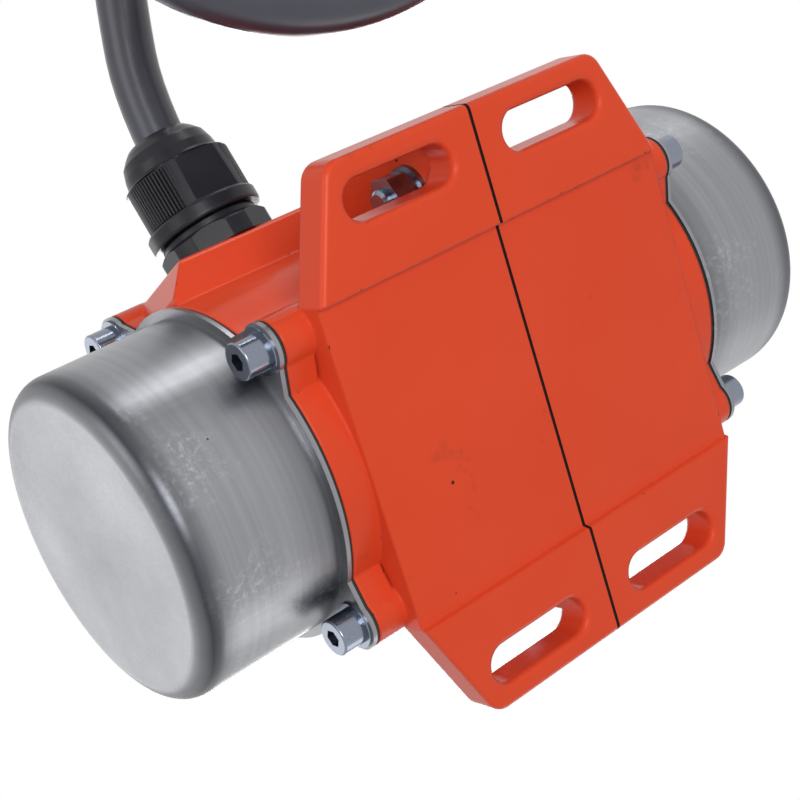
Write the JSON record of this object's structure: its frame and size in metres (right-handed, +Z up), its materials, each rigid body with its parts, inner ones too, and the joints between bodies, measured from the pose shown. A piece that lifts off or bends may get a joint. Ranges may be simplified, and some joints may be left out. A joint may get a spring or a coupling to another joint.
{
  "type": "vibration motor",
  "caption": "Small rotary vibration motor with slotted feet, eccentric weights under steel end caps, a cable gland and a coiled lead.",
  "frame": {"origin": "centre of the mounting face of the feet", "axes": "+X along the shaft towards the end with the cable gland, +Z up out of the mounting face, +Y towards the cable gland"},
  "size_m": [0.1866, 0.294, 0.0719],
  "materials": {
    "orange_enamel": "gloss",
    "stainless_cap": "satin",
    "zinc_fasteners": "satin",
    "black_rubber": "matte",
    "black_nylon": "satin",
    "black_pvc": "satin",
    "nickel_brass": "polished",
    "bright_steel": "ground",
    "plated_weight": "machined",
    "lamination_steel": "varnished",
    "copper_winding": "varnished",
    "cast_aluminium": "as cast"
  },
  "bodies": {
    "housing": {"bearing_wave_spring": "bright_steel", "far_bearing_outer_ring": "bright_steel", "far_cap_flat_washers": "zinc_fasteners", "far_cap_gasket": "black_rubber", "far_cap_lock_washers": "zinc_fasteners", "far_cap_screws": "zinc_fasteners", "far_end_cap": "stainless_cap", "gland_body": "black_nylon", "gland_nut": "black_nylon", "gland_seal": "black_rubber", "housing_gland_half": "orange_enamel", "housing_plain_half": "orange_enamel", "joint_bolts": "zinc_fasteners", "joint_flat_washers": "zinc_fasteners", "joint_lock_washers": "zinc_fasteners", "joint_nuts": "zinc_fasteners", "near_bearing_outer_ring": "bright_steel", "near_cap_flat_washers": "zinc_fasteners", "near_cap_gasket": "black_rubber", "near_cap_lock_washers": "zinc_fasteners", "near_cap_screws": "zinc_fasteners", "near_end_cap": "stainless_cap", "plug_body": "black_pvc", "plug_pins": "nickel_brass", "power_cable": "black_pvc", "power_cable_coil": "black_pvc", "power_cable_tail": "black_pvc", "stator_core": "lamination_steel", "stator_winding": "copper_winding"},
    "rotor": {"rotor_shaft": "bright_steel", "rotor_core": "lamination_steel", "rotor_cage": "cast_aluminium", "near_fixed_weight": "plated_weight", "near_weight_key": "bright_steel", "near_thrust_washer": "bright_steel", "near_retaining_ring": "bright_steel", "near_bearing_inner_ring": "bright_steel", "far_fixed_weight": "plated_weight", "far_weight_key": "bright_steel", "far_thrust_washer": "bright_steel", "far_retaining_ring": "bright_steel", "far_bearing_inner_ring": "bright_steel"},
    "near_adjustable": {"near_adjustable_weight": "plated_weight", "near_weight_clamp_screw": "zinc_fasteners"},
    "near_ball_set": {"near_bearing_balls": "bright_steel", "near_bearing_cage": "bright_steel"},
    "far_adjustable": {"far_adjustable_weight": "plated_weight", "far_weight_clamp_screw": "zinc_fasteners"},
    "far_ball_set": {"far_bearing_balls": "bright_steel", "far_bearing_cage": "bright_steel"}
  },
  "joints": [
    {"name": "shaft_spin", "type": "hinge", "parent": "housing", "child": "rotor", "pos_m": [0, 0, 0.036], "axis": [1, 0, 0], "continuous": true},
    {"name": "near_weight_adjust", "type": "hinge", "parent": "rotor", "child": "near_adjustable", "pos_m": [0.063, 0, 0.036], "axis": [1, 0, 0], "range_deg": [0, 180]},
    {"name": "near_ball_orbit", "type": "hinge", "parent": "housing", "child": "near_ball_set", "pos_m": [0.0405, 0, 0.036], "axis": [1, 0, 0], "continuous": true},
    {"name": "far_weight_adjust", "type": "hinge", "parent": "rotor", "child": "far_adjustable", "pos_m": [-0.063, 0, 0.036], "axis": [1, 0, 0], "range_deg": [0, 180]},
    {"name": "far_ball_orbit", "type": "hinge", "parent": "housing", "child": "far_ball_set", "pos_m": [-0.0397, 0, 0.036], "axis": [1, 0, 0], "continuous": true}
  ],
  "couplings": [
    {"joint": "near_ball_orbit", "follows": "shaft_spin", "ratio": 0.38},
    {"joint": "far_ball_orbit", "follows": "shaft_spin", "ratio": 0.38}
  ]
}
